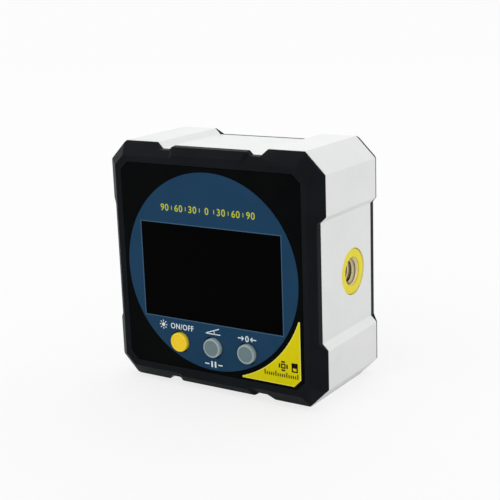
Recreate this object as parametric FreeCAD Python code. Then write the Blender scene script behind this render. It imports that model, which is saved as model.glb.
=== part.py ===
import FreeCAD
import Part

import math
import os

# A magnetic digital angle gauge: a square length of aluminium extrusion between two moulded covers.
# Millimetres. X runs to the right, Y to the back and Z up. The origin is the middle of the base.

# Aluminium body
body_depth = 24.3
side_wall = 3.05
corner_chamfer = 5.0
land_length = 9.45
recess_depth = 1.55
recess_run = 1.5
cavity_corner_radius = 1.0
end_deburr = 0.25

# Magnets glued into grooves behind the lands
magnet_width = 7.0
magnet_thickness = 2.4
magnet_inset = 3.95
magnet_end_gap = 1.15
magnet_side_gap = 0.1
land_skin = 2.0

# Moulded ring round both covers
ring_height = 3.2
ring_inset = 0.1
ring_foot_height = 0.3
ridge_inset = 3.33
ridge_chamfer = 2.5
ring_lip_width = 1.52
ring_lip_chamfer = 2.1
ring_lip_drop = 0.2
skirt_draft_angle = 3.6
corner_inset = 0.1
pad_setback = 3.55
pad_inset = 0.6
pad_end_run = 1.2
pad_wall_height = 1.6
pad_wall_draft = 0.2
pad_ridge_step = 0.69
pad_ridge_narrowing = 1.0
pad_root = 1.0

# Locating tongues inside the extrusion
tongue_gap = 0.15
tongue_thickness = 1.2
tongue_length = 2.0

# Display panel, printed film and label
panel_gap = 0.1
panel_thickness = 1.0
panel_drop = 0.3
front_plate_thickness = 1.5
film_thickness = 0.1
dial_margin = 0.95
dial_window_margin = 0.75
dial_button_margin = 0.5
dial_below_middle = 0.15
window_width = 39.5
window_height = 23.5
window_below_middle = 0.85
window_margin = 0.6
label_gap = 1.25
label_side_inset = 0.83
label_foot_inset = 0.55
label_tip_width = 0.35

# Buttons
button_spacing = 9.7
button_row_gap = 0.5
button_radius = 2.4
button_gap = 0.3
button_proud = 0.9
button_rim_run = 0.5
button_rim_fall = 0.4
button_rim_bulge = 0.12
button_dish = 0.15
button_flange_lip = 0.3
button_flange_thickness = 0.8
button_back_gap = 0.2
button_travel = 0.4

# Tactile switches
switch_width = 6.0
switch_height = 2.3
plunger_width = 2.8
plunger_gap = 0.15
plunger_depth = 1.3
plunger_end_gap = 0.2

# Display module
glass_side_border = 2.0
glass_end_border = 1.45
glass_thickness = 1.8
module_above_window = 0.2
module_gap = 0.15
module_frame_wall = 1.0
light_guide_thickness = 2.0
light_guide_gap = 1.4
zebra_thickness = 2.0
zebra_end_inset = 1.5
led_width = 3.0
led_height = 1.4
led_from_middle = 12.0

# Main board and what is soldered to it
board_behind_cover = 4.0
board_thickness = 1.6
board_gap = 0.4
board_notch_gap = 0.3
standoff_radius = 1.9
standoff_switch_gap = 0.5
standoff_frame_gap = 0.35
board_rest_half_length = 9.0
board_rest_width = 1.2
board_screw_radius = 0.8
board_screw_head_radius = 1.7
board_screw_head_height = 1.2
board_screw_engagement = 2.9
screw_hole_gap = 0.05
controller_width = 10.0
controller_height = 1.5
controller_place = (-4.0, 6.0)
sensor_width = 4.0
sensor_height = 1.2
sensor_place = (12.0, -6.0)
crystal_length = 6.0
crystal_radius = 1.0
crystal_place = (-15.0, 6.0)

# Case screws and the posts that they draw together
screw_from_wall = 4.1
post_wall = 0.75
front_post_length = 9.0
post_gap = 0.2
screw_shank_radius = 1.15
screw_head_radius = 2.1
screw_head_height = 1.7
screw_head_gap = 0.25
screw_seat_depth = 3.0
screw_engagement = 5.0
screw_end_room = 2.0
screw_clearance = 0.15
cross_width = 0.6
cross_span = 2.4
cross_depth = 0.9

# Rear plate and the battery bay moulded into it
rear_plate_drop = 0.5
rear_plate_thickness = 1.8
cell_radius = 5.25
cell_length = 44.5
cell_nub_radius = 1.9
cell_nub_height = 0.8
cell_side_gap = 0.15
cell_door_gap = 0.4
cell_cradle_gap = 0.2
cradle_rise = 2.8
cradle_end_gap = 1.2
bay_side_gap = 0.75
bay_wall = 0.95
bay_floor_gap = 0.3

# Battery contacts
contact_plate = 0.4
contact_tab_gap = 0.2
bump_height = 0.3
bump_width = 3.0
leaf_height = 3.0
leaf_width = 5.0
leaf_thickness = 0.3
leaf_inset = 0.3
leg_width = 2.0
leg_slot_gap = 0.3
leg_stub = 0.4

# Battery door
door_gap = 0.25
door_thickness = 1.6
door_ledge = 0.6
door_lip = 0.2
door_tab_width = 2.0
door_tab_thickness = 1.0
door_tab_reach = 1.2
door_tab_root = 1.35
door_tab_side_gap = 0.3
door_tab_drop = 0.3
door_tab_swing = 0.7
latch_width = 7.0
latch_length = 8.0
latch_slot = 0.8
latch_nib = 0.12
latch_nib_width = 3.5
latch_nib_thickness = 0.8
grip_count = 4
grip_pitch = 1.3
grip_width = 4.6
grip_height = 0.3
grip_thickness = 0.6

# Threaded insert in the right-hand wall
insert_behind_front = 15.2
insert_below_middle = 0.7
insert_radius = 4.0
insert_length = 9.0
insert_bore_radius = 2.6
insert_press_gap = 0.02
bushing_wall = 1.0
bushing_end_wall = 2.0
bushing_flange_lip = 0.5
bushing_flange_thickness = 1.0
bushing_flange_drop = 0.25
bushing_mouth_radius = 3.45
bushing_lip = 0.3
bushing_gap = 0.1

# How far a cut runs past the face that it opens
overrun = 1.0

# The display module and the buttons below it, measured down from the middle of the case
glass_width = window_width + 2 * glass_side_border
glass_height = window_height + 2 * glass_end_border
frame_half_height = glass_height / 2 + module_gap + module_frame_wall
module_below_middle = window_below_middle - module_above_window
button_below_middle = module_below_middle + frame_half_height + button_row_gap + switch_width / 2
button_hole_radius = button_radius + button_gap
window_reach = math.hypot(window_width / 2, window_height / 2 + window_below_middle - dial_below_middle)
button_reach = math.hypot(button_spacing, button_below_middle - dial_below_middle) + button_hole_radius
dial_reach = max(window_reach + dial_window_margin, button_reach + dial_button_margin)

# The battery bay, measured from the middle of the case
cell_from_middle = cell_radius + cell_side_gap
bay_half_width = cell_from_middle + cell_radius + bay_side_gap
bay_half_height = (cell_length + leaf_height + bump_height + 2 * contact_plate) / 2

# The case is as small as its cells and its round film allow
half_for_cells = bay_half_height + bay_wall + tongue_gap + side_wall + recess_depth
half_for_dial = dial_reach + dial_margin + panel_gap + ring_lip_width + ridge_inset
half = max(half_for_cells, half_for_dial)
middle = half

# Places across the case, from its middle
cavity_half = half - recess_depth - side_wall
recess_face = half - recess_depth
recess_half = half - corner_chamfer - land_length - recess_run
magnet_from_middle = recess_half + recess_run + magnet_inset
ridge_half = half - ridge_inset
corner_skirt_chamfer = corner_chamfer - 2 * ring_inset + corner_inset * math.sqrt(2)
ring_lip_half = ridge_half - ring_lip_width
pad_half = recess_half - pad_setback
pad_ridge_half = ridge_half + pad_ridge_step
dial_radius = ring_lip_half - panel_gap - dial_margin
screw_from_middle = cavity_half - screw_from_wall
screw_counterbore_radius = screw_head_radius + screw_head_gap
post_half = screw_counterbore_radius + post_wall
button_row = middle - button_below_middle
button_places = (-button_spacing, 0.0, button_spacing)
window_middle = middle - window_below_middle
module_middle = middle - module_below_middle
board_half = cavity_half - board_gap
board_notch_half = screw_from_middle - post_half - board_notch_gap
standoff_from_middle = button_spacing + switch_width / 2 + standoff_radius + standoff_switch_gap
standoff_below_middle = module_below_middle + frame_half_height + standoff_radius + standoff_frame_gap
door_tab_outer = bay_half_width - door_tab_side_gap
contact_width = 2 * (door_tab_outer - door_tab_width - contact_tab_gap - cell_from_middle)
door_opening_half_width = bay_half_width + door_ledge
door_opening_half_height = bay_half_height - door_lip
four_corners = ((1, 1), (1, -1), (-1, 1), (-1, -1))

# Places through the case, from front to back
front_reach = ring_height + button_proud - panel_drop + film_thickness
body_front = front_reach - (front_reach + body_depth + ring_height) / 2
body_back = body_front + body_depth
panel_face = body_front - ring_height + panel_drop
panel_back = panel_face + panel_thickness
plate_back = panel_back + front_plate_thickness
film_face = panel_face - film_thickness
button_flange_front = plate_back + button_back_gap
button_back = button_flange_front + button_flange_thickness
board_front = body_front + board_behind_cover
board_back = board_front + board_thickness
front_post_end = body_front + front_post_length
rear_face = body_back + ring_height - rear_plate_drop
rear_plate_inside = rear_face - rear_plate_thickness
screw_seat = rear_face - screw_seat_depth
door_inside = rear_face - door_thickness
cell_axis = door_inside - cell_door_gap - cell_radius
bay_floor = cell_axis - cell_radius - bay_floor_gap


def box(x0, x1, y0, y1, z0, z1):
    """A block between two opposite corners."""
    corner = FreeCAD.Vector(min(x0, x1), min(y0, y1), min(z0, z1))
    return Part.makeBox(abs(x1 - x0), abs(y1 - y0), abs(z1 - z0), corner)


def rod_y(radius, y0, y1, x, z):
    """A round rod that runs along Y."""
    start = FreeCAD.Vector(x, y0, z)
    return Part.makeCylinder(radius, y1 - y0, start, FreeCAD.Vector(0, 1, 0))


def square_y(half_width, y0, y1, x, z):
    """A square bar that runs along Y."""
    return box(x - half_width, x + half_width, y0, y1, z - half_width, z + half_width)


def rod_x(radius, x0, x1, y, z):
    """A round rod that runs along X."""
    start = FreeCAD.Vector(x0, y, z)
    return Part.makeCylinder(radius, x1 - x0, start, FreeCAD.Vector(1, 0, 0))


def lathed(outline, start, axis, outward):
    """A solid turned about an axis, from an outline given as (radius, distance along the axis)."""
    corners = [start + outward * radius + axis * along for radius, along in outline]
    face = Part.Face(Part.makePolygon(corners + corners[:1]))
    return face.revolve(start, axis, 360)


def outline_wire(points, y):
    """A closed outline across Y, from places given as (x, height above the middle)."""
    corners = [FreeCAD.Vector(x, y, middle + z) for x, z in points]
    return Part.makePolygon(corners + corners[:1])


def prism(points, y0, y1):
    """An outline carried straight along Y."""
    face = Part.Face(outline_wire(points, y0))
    return face.extrude(FreeCAD.Vector(0, y1 - y0, 0))


def taper(points0, y0, points1, y1):
    """A solid with flat facets between two outlines whose matching edges are parallel."""
    first = [FreeCAD.Vector(x, y0, middle + z) for x, z in points0]
    second = [FreeCAD.Vector(x, y1, middle + z) for x, z in points1]
    loops = [first, second]
    for number in range(len(first)):
        after = (number + 1) % len(first)
        loops.append([first[number], first[after], second[after], second[number]])
    faces = [Part.Face(Part.makePolygon(loop + loop[:1])) for loop in loops]
    solid = Part.makeSolid(Part.makeShell(faces))
    if solid.Volume < 0:
        solid.reverse()
    return solid


def fused(shapes):
    """Shapes joined into one solid, with the seams between flush faces taken out."""
    whole = shapes[0].multiFuse(shapes[1:])
    return whole.removeSplitter()


def turned(point, quarter_turns):
    """A place turned about the middle of the case by quarter turns."""
    x, z = point
    for _ in range(quarter_turns):
        x, z = z, -x
    return (x, z)


def octagon(reach, chamfer):
    """A square of half-width reach with its corners cut off."""
    side = [(chamfer - reach, reach), (reach - chamfer, reach)]
    return [turned(point, turn) for turn in range(4) for point in side]


def side_recess(floor, y0, y1, draft, turn):
    """What the shallow recess takes off one side, between two depths, with its floor drafted."""
    outside = half + recess_run
    rise = outside - floor
    shoulder = recess_run / recess_depth

    def section(drop):
        spread = (rise + drop) * shoulder
        points = [(-recess_half, floor - drop), (recess_half, floor - drop)]
        points += [(recess_half + spread, outside), (-recess_half - spread, outside)]
        return [turned(point, turn) for point in points]

    return taper(section(0.0), y0, section(draft), y1)


def export(shape, name):
    """Write one sub-part under its node name."""
    shape.exportStep("parts/" + name + ".step")


def insert_place():
    """The axis of the threaded insert as (y, z)."""
    return (body_front + insert_behind_front, middle - insert_below_middle)


def body_extrusion():
    """The extruded aluminium body: four recessed sides, magnet grooves and the hole for the insert."""
    outer = taper(octagon(half - end_deburr, corner_chamfer), body_front,
                  octagon(half, corner_chamfer), body_front + end_deburr)
    core = prism(octagon(half, corner_chamfer), body_front + end_deburr, body_back - end_deburr)
    back = taper(octagon(half, corner_chamfer), body_back - end_deburr,
                 octagon(half - end_deburr, corner_chamfer), body_back)
    body = fused([outer, core, back])
    for turn in range(4):
        body = body.cut(side_recess(recess_face, body_front, body_back, 0.0, turn))
    cavity = box(-cavity_half, cavity_half, body_front, body_back, middle - cavity_half, middle + cavity_half)
    along = [edge for edge in cavity.Edges if abs(edge.tangentAt(edge.FirstParameter).y) > 0.99]
    body = body.cut(cavity.makeFillet(cavity_corner_radius, along))
    for place in magnet_places():
        body = body.cut(magnet_groove(*place))
    y, z = insert_place()
    flange_seat = recess_face - bushing_flange_drop - bushing_flange_thickness
    barrel = insert_radius + bushing_wall + bushing_gap
    body = body.cut(rod_x(barrel, cavity_half - overrun, half, y, z))
    return body.cut(rod_x(barrel + bushing_flange_lip, flange_seat, half, y, z))


def magnet_places():
    """Each magnet's side of the case and its place along that side."""
    return [(turn, along) for turn in range(4) for along in (-magnet_from_middle, magnet_from_middle)]


def side_block(turn, along, width, low, high, y0, y1):
    """A block on one side of the case, from low to high above the middle, centred on a place along it."""
    corners = [(along - width / 2, low), (along + width / 2, low)]
    corners += [(along + width / 2, high), (along - width / 2, high)]
    return prism([turned(point, turn) for point in corners], y0, y1)


def magnet_groove(turn, along):
    """The groove that the extrusion has behind one land."""
    width = magnet_width + 2 * magnet_side_gap
    return side_block(turn, along, width, cavity_half - overrun, half - land_skin, body_front, body_back)


def side_magnets():
    """Two bar magnets behind the lands of each side, glued to the floors of their grooves."""
    floor = half - land_skin
    low = floor - magnet_thickness
    start = body_front + tongue_length + magnet_end_gap
    end = body_back - tongue_length - magnet_end_gap
    bars = []
    for turn, along in magnet_places():
        bars.append(side_block(turn, along, magnet_width, low, floor, start, end))
    return Part.makeCompound(bars)


def ring_pad(turn, foot, ridge):
    """The raised block at the middle of the ring's top or bottom edge."""
    shoulder = foot + math.copysign(pad_wall_height, ridge - foot)
    top = half - pad_inset
    inner = ridge_half - pad_root

    def section(half_width, height):
        base = half_width + pad_end_run
        low = height - pad_end_run
        points = [(-half_width, height), (half_width, height), (base, low), (base, inner)]
        points += [(-base, inner), (-base, low)]
        return [turned(point, turn) for point in points]

    wall = taper(section(pad_half, top), foot, section(pad_half, top - pad_wall_draft), shoulder)
    narrow = pad_half - pad_ridge_narrowing
    slope = taper(section(pad_half, top - pad_wall_draft), shoulder, section(narrow, pad_ridge_half), ridge)
    return [wall, slope]


def cover_ring(foot, ridge):
    """The ring of a cover, solid: a short straight foot on the extrusion, then a bevel to the ridge."""
    way = math.copysign(1, ridge - foot)
    foot_half = half - ring_inset
    foot_end = foot + way * ring_foot_height
    foot_chamfer = ridge_chamfer + (foot_half - ridge_half) * (2 - math.sqrt(2))
    base = prism(octagon(foot_half, foot_chamfer), foot, foot_end)
    bevel = taper(octagon(foot_half, foot_chamfer), foot_end, octagon(ridge_half, ridge_chamfer), ridge)
    draft = ring_height * math.tan(math.radians(skirt_draft_angle))
    wall = taper(octagon(foot_half, corner_skirt_chamfer), foot,
                 octagon(foot_half, corner_skirt_chamfer + 2 * draft), ridge)
    ring = fused([base, bevel]).common(wall)
    for turn in range(4):
        ring = ring.cut(side_recess(recess_face, foot, ridge, draft, turn))
    return ring


def ring_lip(ridge, way):
    """What is taken off inside the ridge: a shallow slope down to the edge of the face."""
    edge = ridge - way * ring_lip_drop
    return taper(octagon(ridge_half, ridge_chamfer), ridge,
                 octagon(ring_lip_half, ring_lip_chamfer), edge)


def tongue(y0, y1):
    """The thin wall of a cover that locates it inside the extrusion."""
    outer = cavity_half - tongue_gap
    inner = outer - tongue_thickness
    outside = prism(octagon(outer, cavity_corner_radius), y0, y1)
    return outside.cut(prism(octagon(inner, cavity_corner_radius), y0, y1))


def standoffs(radius, y0, y1):
    """Round solids on the axes of the board's two screws, one at each end of the row of buttons."""
    z = middle - standoff_below_middle
    return [rod_y(radius, y0, y1, x, z) for x in (-standoff_from_middle, standoff_from_middle)]


def board_rest():
    """The rib on the back of the front plate that the upper edge of the board lies on."""
    low = middle + board_half - board_rest_width
    return box(-board_rest_half_length, board_rest_half_length, plate_back, board_front,
               low, middle + board_half)


def corner_rods(radius, y0, y1):
    """Round solids on the four axes of the case screws."""
    rods = []
    for side_x, side_z in four_corners:
        rods.append(rod_y(radius, y0, y1, side_x * screw_from_middle, middle + side_z * screw_from_middle))
    return rods


def corner_posts(y0, y1):
    """The four square pillars that the case screws pass through, each in a corner of the cover."""
    posts = []
    for side_x, side_z in four_corners:
        x = side_x * screw_from_middle
        z = middle + side_z * screw_from_middle
        posts.append(square_y(post_half, y0, y1, x, z))
    return posts


def window_block(margin, y0, y1):
    """The opening over the display, with a margin round the viewing area."""
    x = window_width / 2 + margin
    z = window_height / 2 + margin
    return box(-x, x, y0, y1, window_middle - z, window_middle + z)


def button_rods(radius, y0, y1):
    """Round solids on the axes of the three buttons."""
    return [rod_y(radius, y0, y1, x, button_row) for x in button_places]


def front_cover():
    """The front cover: padded ring, seat for the panel, tongue, screw posts and board standoffs."""
    ridge = body_front - ring_height
    pads = ring_pad(0, body_front, ridge) + ring_pad(2, body_front, ridge)
    ring = fused([cover_ring(body_front, ridge)] + pads).cut(ring_lip(ridge, -1))
    inside = cavity_half - tongue_gap - tongue_thickness
    ring = ring.cut(prism(octagon(ring_lip_half, ring_lip_chamfer), ridge, panel_back))
    ring = ring.cut(prism(octagon(inside, cavity_corner_radius), plate_back, body_front))
    posts = corner_posts(plate_back, front_post_end)
    feet = standoffs(standoff_radius, plate_back, board_front)
    rim = tongue(plate_back, body_front + tongue_length)
    solid = fused([ring, rim, board_rest()] + posts + feet)
    solid = solid.cut(window_block(window_margin, panel_back, plate_back))
    for hole in button_rods(button_hole_radius, panel_back, plate_back):
        solid = solid.cut(hole)
    pilot_start = front_post_end - screw_engagement - screw_end_room
    for pilot in corner_rods(screw_shank_radius + screw_hole_gap, pilot_start, front_post_end):
        solid = solid.cut(pilot)
    pilot_start = board_front - board_screw_engagement
    for pilot in standoffs(board_screw_radius + screw_hole_gap, pilot_start, board_front):
        solid = solid.cut(pilot)
    return solid


def display_panel():
    """The glossy black acrylic panel that covers the display, with three holes for the buttons."""
    reach = ring_lip_half - panel_gap
    panel = prism(octagon(reach, ring_lip_chamfer), panel_face, panel_back)
    for hole in button_rods(button_hole_radius, panel_face, panel_back):
        panel = panel.cut(hole)
    return panel


def dial_film():
    """The round blue film on the panel, open at the window and round the buttons."""
    film = rod_y(dial_radius, film_face, panel_face, 0, middle - dial_below_middle)
    film = film.cut(window_block(0.0, film_face, panel_face))
    for hole in button_rods(button_hole_radius, film_face, panel_face):
        film = film.cut(hole)
    return film


def corner_label():
    """The yellow label in the lower right corner, which follows the round film to two blunt tips."""
    panel_half = ring_lip_half - panel_gap
    side = panel_half - label_side_inset
    foot = panel_half - label_foot_inset
    hollow = dial_radius + label_gap
    side_tip = math.sqrt(hollow ** 2 - (side - label_tip_width) ** 2)
    foot_tip = math.sqrt(hollow ** 2 - (foot - dial_below_middle - label_tip_width) ** 2)
    dial_middle = middle - dial_below_middle
    label = prism(octagon(foot, ring_lip_chamfer), film_face, panel_face)
    label = label.common(box(foot_tip, side, film_face, panel_face, 0, dial_middle - side_tip))
    return label.cut(rod_y(hollow, film_face, panel_face, 0, dial_middle))


def button(x):
    """A round cap with a rolled rim and a dished top, and a flange that keeps it behind the plate."""
    top = film_face - button_proud
    crest = button_radius - button_rim_run
    flange = button_hole_radius + button_flange_lip
    outline = [(0, top + button_dish), (crest, top)]
    outline.append((crest + button_rim_run / 2 + button_rim_bulge,
                    top + button_rim_fall / 2 - button_rim_bulge))
    outline += [(button_radius, top + button_rim_fall), (button_radius, button_flange_front)]
    outline += [(flange, button_flange_front), (flange, button_back), (0, button_back)]
    return lathed(outline, FreeCAD.Vector(x, 0, button_row), FreeCAD.Vector(0, 1, 0), FreeCAD.Vector(1, 0, 0))


def plunger(x):
    """The square plunger of one tactile switch, which bears on the back of its button."""
    end = board_front - switch_height + plunger_depth
    return square_y(plunger_width / 2, button_back, end, x, button_row)


def switch_housings():
    """The three square switch housings on the front of the board, hollowed for their plungers."""
    front = board_front - switch_height
    bore_end = front + plunger_depth + button_travel + plunger_end_gap
    housings = []
    for x in button_places:
        body = square_y(switch_width / 2, front, board_front, x, button_row)
        bore = square_y(plunger_width / 2 + plunger_gap, front, bore_end, x, button_row)
        housings.append(body.cut(bore))
    return Part.makeCompound(housings)


def module_block(width, height, y0, y1):
    """A block of the display module, centred on the module."""
    return box(-width / 2, width / 2, y0, y1, module_middle - height / 2, module_middle + height / 2)


def lcd_glass():
    """The liquid crystal glass, which lies against the back of the front plate."""
    return module_block(glass_width, glass_height, plate_back, plate_back + glass_thickness)


def light_guide():
    """The clear guide that spreads the backlight behind the glass, short of the zebra strip."""
    start = plate_back + glass_thickness
    low = module_middle - glass_height / 2
    high = module_middle + glass_height / 2 - zebra_thickness - light_guide_gap
    return box(-glass_width / 2, glass_width / 2, start, start + light_guide_thickness, low, high)


def lcd_frame():
    """The white frame that holds the display module between the front plate and the board."""
    width = glass_width + 2 * module_gap
    height = glass_height + 2 * module_gap
    wall = 2 * module_frame_wall
    frame = module_block(width + wall, height + wall, plate_back, board_front)
    return frame.cut(module_block(width, height, plate_back, board_front))


def zebra_strip():
    """The rubber connector strip between the upper edge of the glass and the board."""
    top = module_middle + glass_height / 2
    reach = glass_width / 2 - zebra_end_inset
    return box(-reach, reach, plate_back + glass_thickness, board_front, top - zebra_thickness, top)


def backlight_leds():
    """Two flat lamps on the board behind the light guide."""
    front = plate_back + glass_thickness + light_guide_thickness
    lamps = []
    for x in (-led_from_middle, led_from_middle):
        lamps.append(box(x - led_width / 2, x + led_width / 2, front, board_front,
                         module_middle - led_height / 2, module_middle + led_height / 2))
    return Part.makeCompound(lamps)


def main_board():
    """The circuit board, notched at its corners for the posts and slotted for the contact legs."""
    side = [(-board_notch_half, board_half), (board_notch_half, board_half)]
    side.append((board_notch_half, board_notch_half))
    outline = [turned(point, turn) for turn in range(4) for point in side]
    board = prism(outline, board_front, board_back)
    for hole in standoffs(board_screw_radius + screw_clearance, board_front, board_back):
        board = board.cut(hole)
    for x in (-cell_from_middle, cell_from_middle):
        board = board.cut(leg_slot(x, board_front, board_back))
    return board


def leg_slot(x, y0, y1):
    """The slot that lets one contact leg through a wall."""
    reach = leg_width / 2 + leg_slot_gap
    low = middle - bay_half_height
    return box(x - reach, x + reach, y0, y1, low, low + contact_plate + leg_slot_gap)


def chip(width, height, place):
    """A square chip on the back of the board."""
    x, up = place
    z = middle + up
    return box(x - width / 2, x + width / 2, board_back, board_back + height, z - width / 2, z + width / 2)


def clock_crystal():
    """The crystal can, which lies on the board."""
    x, up = crystal_place
    start = FreeCAD.Vector(x, board_back + crystal_radius, middle + up - crystal_length / 2)
    return Part.makeCylinder(crystal_radius, crystal_length, start, FreeCAD.Vector(0, 0, 1))


def board_screws():
    """The two small screws that hold the board on its standoffs."""
    heads = standoffs(board_screw_head_radius, board_back, board_back + board_screw_head_height)
    shanks = standoffs(board_screw_radius, board_front - board_screw_engagement, board_back)
    return Part.makeCompound([head.fuse(shank) for head, shank in zip(heads, shanks)])


def case_screws():
    """Four long screws from the back, which draw the covers together on the extrusion."""
    top = screw_seat + screw_head_height
    heads = corner_rods(screw_head_radius, screw_seat, top)
    shanks = corner_rods(screw_shank_radius, front_post_end - screw_engagement, screw_seat)
    screws = []
    for head, shank, (side_x, side_z) in zip(heads, shanks, four_corners):
        x = side_x * screw_from_middle
        z = middle + side_z * screw_from_middle
        across = box(x - cross_span / 2, x + cross_span / 2, top - cross_depth, top,
                     z - cross_width / 2, z + cross_width / 2)
        upright = box(x - cross_width / 2, x + cross_width / 2, top - cross_depth, top,
                      z - cross_span / 2, z + cross_span / 2)
        screws.append(head.fuse(shank).cut(across).cut(upright))
    return Part.makeCompound(screws)


def bay_block(wall, y0, y1):
    """The battery bay with a wall of this thickness round it, as a block between two depths."""
    x = bay_half_width + wall
    z = bay_half_height + wall
    return box(-x, x, y0, y1, middle - z, middle + z)


def cell_cradle():
    """The bed on the bay's floor, hollowed for two cells and short of the contacts at its ends."""
    reach = bay_half_height - cradle_end_gap
    cradle = box(-bay_half_width, bay_half_width, bay_floor, bay_floor + cradle_rise,
                 middle - reach, middle + reach)
    for x in (-cell_from_middle, cell_from_middle):
        start = FreeCAD.Vector(x, cell_axis, middle - bay_half_height)
        radius = cell_radius + cell_cradle_gap
        cradle = cradle.cut(Part.makeCylinder(radius, 2 * bay_half_height, start, FreeCAD.Vector(0, 0, 1)))
    return cradle


def tab_places():
    """The near and far edge of each hooked tab on the door, along X."""
    inner = door_tab_outer - door_tab_width
    return [(inner, door_tab_outer), (-door_tab_outer, -inner)]


def rear_cover():
    """The rear cover: a ring without pads, a flat plate, the battery bay, and posts for the case screws."""
    ridge = body_back + ring_height
    ring = cover_ring(body_back, ridge).cut(ring_lip(ridge, 1))
    ring = ring.cut(prism(octagon(ring_lip_half, ring_lip_chamfer), rear_face, ridge))
    inside = cavity_half - tongue_gap - tongue_thickness
    ring = ring.cut(prism(octagon(inside, cavity_corner_radius), body_back, rear_plate_inside))
    rim = tongue(body_back - tongue_length, body_back)
    post_start = front_post_end + post_gap
    posts = corner_posts(post_start, rear_plate_inside)
    walls = bay_block(bay_wall, bay_floor - bay_wall, rear_plate_inside)
    solid = fused([ring, rim, walls] + posts)
    solid = solid.cut(bay_block(0.0, bay_floor, rear_plate_inside))
    solid = fused([solid, cell_cradle()])
    width = door_opening_half_width
    height = door_opening_half_height
    solid = solid.cut(box(-width, width, rear_plate_inside, rear_face, middle - height, middle + height))
    for hole in corner_rods(screw_counterbore_radius, screw_seat, rear_face):
        solid = solid.cut(hole)
    for hole in corner_rods(screw_shank_radius + screw_clearance, post_start, screw_seat):
        solid = solid.cut(hole)
    slot_depth = door_tab_drop + door_tab_thickness + door_tab_swing
    low = middle - bay_half_height
    for near, far in tab_places():
        solid = solid.cut(box(near - door_tab_side_gap, far + door_tab_side_gap,
                              rear_plate_inside - slot_depth, rear_plate_inside, low - bay_wall, low))
    for x in (-cell_from_middle, cell_from_middle):
        solid = solid.cut(leg_slot(x, bay_floor - bay_wall, bay_floor))
    return solid


def door_tabs():
    """Two hooked tabs that catch behind the plate below the door, as outlines carried along X."""
    low = middle - door_opening_half_height + door_gap
    outer_face = rear_plate_inside - door_tab_drop
    inner_face = outer_face - door_tab_thickness
    root = low + door_tab_root
    tip = low - door_tab_reach
    outline = [(door_inside, root), (inner_face, root), (inner_face, tip), (outer_face, tip)]
    outline += [(outer_face, low + door_gap), (door_inside, low + door_gap)]
    tabs = []
    for near, far in tab_places():
        corners = [FreeCAD.Vector(near, y, z) for y, z in outline]
        face = Part.Face(Part.makePolygon(corners + corners[:1]))
        tabs.append(face.extrude(FreeCAD.Vector(far - near, 0, 0)))
    return tabs


def battery_door():
    """The battery door: a flat plate with hooked tabs below and a slotted latch tongue above."""
    x = door_opening_half_width - door_gap
    z = door_opening_half_height - door_gap
    plate = box(-x, x, door_inside, rear_face, middle - z, middle + z)
    top = middle + z
    nib = box(-latch_nib_width / 2, latch_nib_width / 2, door_inside, door_inside + latch_nib_thickness,
              top, top + latch_nib)
    grips = []
    for number in range(grip_count):
        low = top - latch_length + number * grip_pitch
        grips.append(box(-grip_width / 2, grip_width / 2, rear_face, rear_face + grip_height,
                         low, low + grip_thickness))
    door = fused([plate, nib] + door_tabs() + grips)
    for side in (-1, 1):
        near = side * latch_width / 2
        door = door.cut(box(near, near + side * latch_slot, door_inside, rear_face, top - latch_length, top))
    return door


def cell(x, up):
    """One small round cell in the bay, with its nub up or down."""
    can_length = cell_length - cell_nub_height
    nub = Part.makeCylinder(cell_nub_radius, cell_nub_height, FreeCAD.Vector(0, 0, can_length))
    solid = Part.makeCylinder(cell_radius, can_length).fuse(nub)
    reach = bay_half_height - contact_plate - bump_height
    if up:
        solid.translate(FreeCAD.Vector(x, cell_axis, middle + reach - cell_length))
        return solid
    solid.rotate(FreeCAD.Vector(0, 0, 0), FreeCAD.Vector(1, 0, 0), 180)
    solid.translate(FreeCAD.Vector(x, cell_axis, middle - reach + cell_length))
    return solid


def aaa_cells():
    """The two cells, side by side and opposite ways up."""
    return Part.makeCompound([cell(-cell_from_middle, True), cell(cell_from_middle, False)])


def contact_face(x, width, way):
    """The flat plate of a contact against the bay's end wall. way is 1 at the top and -1 at the bottom."""
    wall = middle + way * bay_half_height
    inner = wall - way * contact_plate
    return box(x - width / 2, x + width / 2, cell_axis - contact_width / 2, cell_axis + contact_width / 2,
               wall, inner)


def contact_bump(x, way):
    """The raised pad that meets the nub of a cell."""
    base = middle + way * (bay_half_height - contact_plate)
    reach = bump_width / 2
    return box(x - reach, x + reach, cell_axis - reach, cell_axis + reach, base, base - way * bump_height)


def contact_leaf(x, way):
    """The bowed leaf spring that meets the flat end of a cell, fixed to the plate at one end."""
    inner = middle + way * (bay_half_height - contact_plate)
    crown = inner - way * leaf_height
    half_span = contact_width / 2 - leaf_inset
    start = x - leaf_width / 2

    def arc(offset, lift):
        first = FreeCAD.Vector(start, cell_axis - half_span + offset, inner)
        top = FreeCAD.Vector(start, cell_axis, crown + way * lift)
        last = FreeCAD.Vector(start, cell_axis + half_span - offset, inner)
        return first, Part.Arc(first, top, last).toShape(), last

    outer_first, outer, outer_last = arc(0.0, 0.0)
    inner_first, inside, inner_last = arc(leaf_thickness, leaf_thickness)
    ends = [Part.LineSegment(outer_last, inner_last).toShape()]
    ends.append(Part.LineSegment(inner_first, outer_first).toShape())
    face = Part.Face(Part.Wire(Part.__sortEdges__([outer, inside] + ends)))
    return face.extrude(FreeCAD.Vector(leaf_width, 0, 0))


def contact_leg(x):
    """The leg of a lower contact, which runs forward through the bay's floor into the board."""
    low = middle - bay_half_height
    return box(x - leg_width / 2, x + leg_width / 2, board_front + leg_stub, cell_axis,
               low, low + contact_plate)


def bridge_contact():
    """The upper contact, which joins the two cells: a bump for one and a leaf for the other."""
    plate = contact_face(0, 2 * cell_from_middle + contact_width, 1)
    return fused([plate, contact_bump(-cell_from_middle, 1), contact_leaf(cell_from_middle, 1)])


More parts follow.
